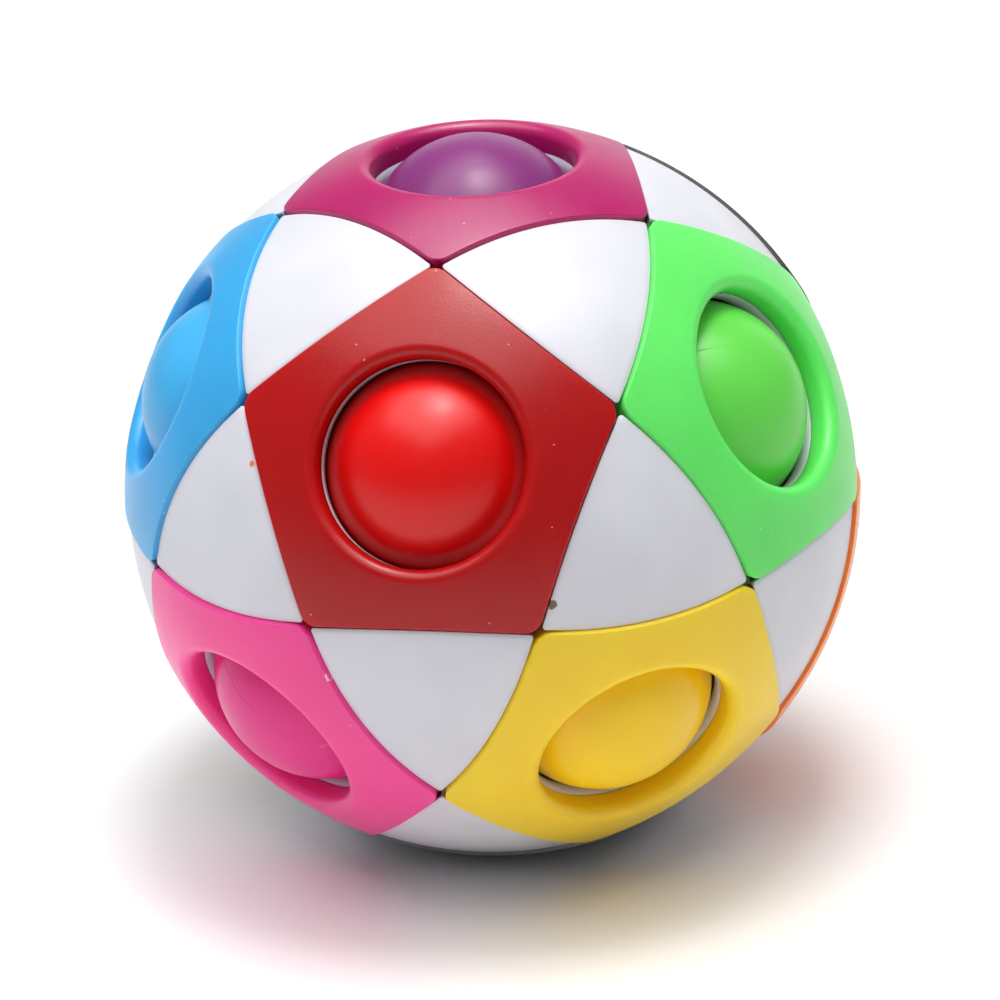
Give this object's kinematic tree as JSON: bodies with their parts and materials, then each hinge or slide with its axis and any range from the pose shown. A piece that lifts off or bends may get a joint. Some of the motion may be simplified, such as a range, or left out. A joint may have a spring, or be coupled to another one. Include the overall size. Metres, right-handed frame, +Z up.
{
  "type": "sliding-ball sphere puzzle",
  "caption": "Hollow sphere puzzle with coloured windowed panels and white tiles; loose coloured balls sit behind the windows and are pressed in and rolled across to the empty window.",
  "frame": {"origin": "on the surface that the puzzle stands on, straight below the sphere's centre", "axes": "+Z up through the top window; -Y faces the red window; +X to the right of it"},
  "size_m": [0.068, 0.068, 0.0666],
  "materials": {
    "panel_purple": "satin moulded plastic, lightly polished",
    "ball_purple": "satin moulded plastic with a fine parting line",
    "panel_red": "satin moulded plastic, lightly polished",
    "ball_red": "satin moulded plastic with a fine parting line",
    "panel_green": "satin moulded plastic, lightly polished",
    "ball_green": "satin moulded plastic with a fine parting line",
    "panel_sky": "satin moulded plastic, lightly polished",
    "ball_sky": "satin moulded plastic with a fine parting line",
    "panel_yellow": "satin moulded plastic, lightly polished",
    "ball_yellow": "satin moulded plastic with a fine parting line",
    "panel_pink": "satin moulded plastic, lightly polished",
    "ball_pink": "satin moulded plastic with a fine parting line",
    "panel_orange": "satin moulded plastic, lightly polished",
    "ball_orange": "satin moulded plastic with a fine parting line",
    "panel_black": "satin moulded plastic, lightly polished",
    "ball_black": "satin moulded plastic with a fine parting line",
    "panel_navy": "satin moulded plastic, lightly polished",
    "ball_navy": "satin moulded plastic with a fine parting line",
    "panel_dark_green": "satin moulded plastic, lightly polished",
    "ball_dark_green": "satin moulded plastic with a fine parting line",
    "panel_brown": "satin moulded plastic, lightly polished",
    "ball_brown": "satin moulded plastic with a fine parting line",
    "panel_grey": "satin moulded plastic, lightly polished",
    "white_shell": "satin white moulded plastic",
    "foam_core": "matt elastic foam"
  },
  "bodies": {
    "case": {"upper_shell": "white_shell", "lower_shell": "white_shell", "foam_core": "foam_core", "panel_purple": "panel_purple", "panel_red": "panel_red", "panel_green": "panel_green", "panel_sky": "panel_sky", "panel_yellow": "panel_yellow", "panel_pink": "panel_pink", "panel_orange": "panel_orange", "panel_black": "panel_black", "panel_navy": "panel_navy", "panel_dark_green": "panel_dark_green", "panel_brown": "panel_brown", "panel_grey": "panel_grey"},
    "ball_purple": {"ball_purple": "ball_purple"},
    "ball_red": {"ball_red": "ball_red"},
    "ball_green": {"ball_green": "ball_green"},
    "ball_sky": {"ball_sky": "ball_sky"},
    "ball_yellow": {"ball_yellow": "ball_yellow"},
    "ball_pink": {"ball_pink": "ball_pink"},
    "ball_orange": {"ball_orange": "ball_orange"},
    "ball_black": {"ball_black": "ball_black"},
    "ball_navy": {"ball_navy": "ball_navy"},
    "ball_dark_green": {"ball_dark_green": "ball_dark_green"},
    "ball_brown": {"ball_brown": "ball_brown"}
  },
  "joints": [
    {"name": "press_purple", "type": "slide", "parent": "case", "child": "ball_purple", "axis": [0, 0, -1], "range_m": [0, 0.0044], "stiffness_N_per_m": 550, "springref_m": -0.0008, "deforming": ["foam_core"]},
    {"name": "press_red", "type": "slide", "parent": "case", "child": "ball_red", "axis": [0, 0.8944, -0.4472], "range_m": [0, 0.0044], "stiffness_N_per_m": 550, "springref_m": -0.0008, "deforming": ["foam_core"]},
    {"name": "press_green", "type": "slide", "parent": "case", "child": "ball_green", "axis": [-0.8507, 0.2764, -0.4472], "range_m": [0, 0.0044], "stiffness_N_per_m": 550, "springref_m": -0.0008, "deforming": ["foam_core"]},
    {"name": "press_sky", "type": "slide", "parent": "case", "child": "ball_sky", "axis": [0.8507, 0.2764, -0.4472], "range_m": [0, 0.0044], "stiffness_N_per_m": 550, "springref_m": -0.0008, "deforming": ["foam_core"]},
    {"name": "press_pink", "type": "slide", "parent": "case", "child": "ball_pink", "axis": [0.5257, 0.7236, 0.4472], "range_m": [0, 0.0044], "stiffness_N_per_m": 550, "springref_m": -0.0008, "deforming": ["foam_core"]},
    {"name": "press_orange", "type": "slide", "parent": "case", "child": "ball_orange", "axis": [-0.8507, -0.2764, 0.4472], "range_m": [0, 0.0044], "stiffness_N_per_m": 550, "springref_m": -0.0008, "deforming": ["foam_core"]},
    {"name": "press_black", "type": "slide", "parent": "case", "child": "ball_black", "axis": [-0.5257, -0.7236, -0.4472], "range_m": [0, 0.0044], "stiffness_N_per_m": 550, "springref_m": -0.0008, "deforming": ["foam_core"]},
    {"name": "press_navy", "type": "slide", "parent": "case", "child": "ball_navy", "axis": [0.5257, -0.7236, -0.4472], "range_m": [0, 0.0044], "stiffness_N_per_m": 550, "springref_m": -0.0008, "deforming": ["foam_core"]},
    {"name": "press_dark_green", "type": "slide", "parent": "case", "child": "ball_dark_green", "axis": [0, -0.8944, 0.4472], "range_m": [0, 0.0044], "stiffness_N_per_m": 550, "springref_m": -0.0008, "deforming": ["foam_core"]},
    {"name": "press_brown", "type": "slide", "parent": "case", "child": "ball_brown", "axis": [0.8507, -0.2764, 0.4472], "range_m": [0, 0.0044], "stiffness_N_per_m": 550, "springref_m": -0.0008, "deforming": ["foam_core"]},
    {"name": "transfer_yellow", "type": "hinge", "parent": "case", "child": "ball_yellow", "pos_m": [0.01221, -0.0168, -0.00126], "axis": [-0.809, -0.5878, 0], "range_deg": [0, 66.94], "deforming": ["foam_core"]}
  ]
}
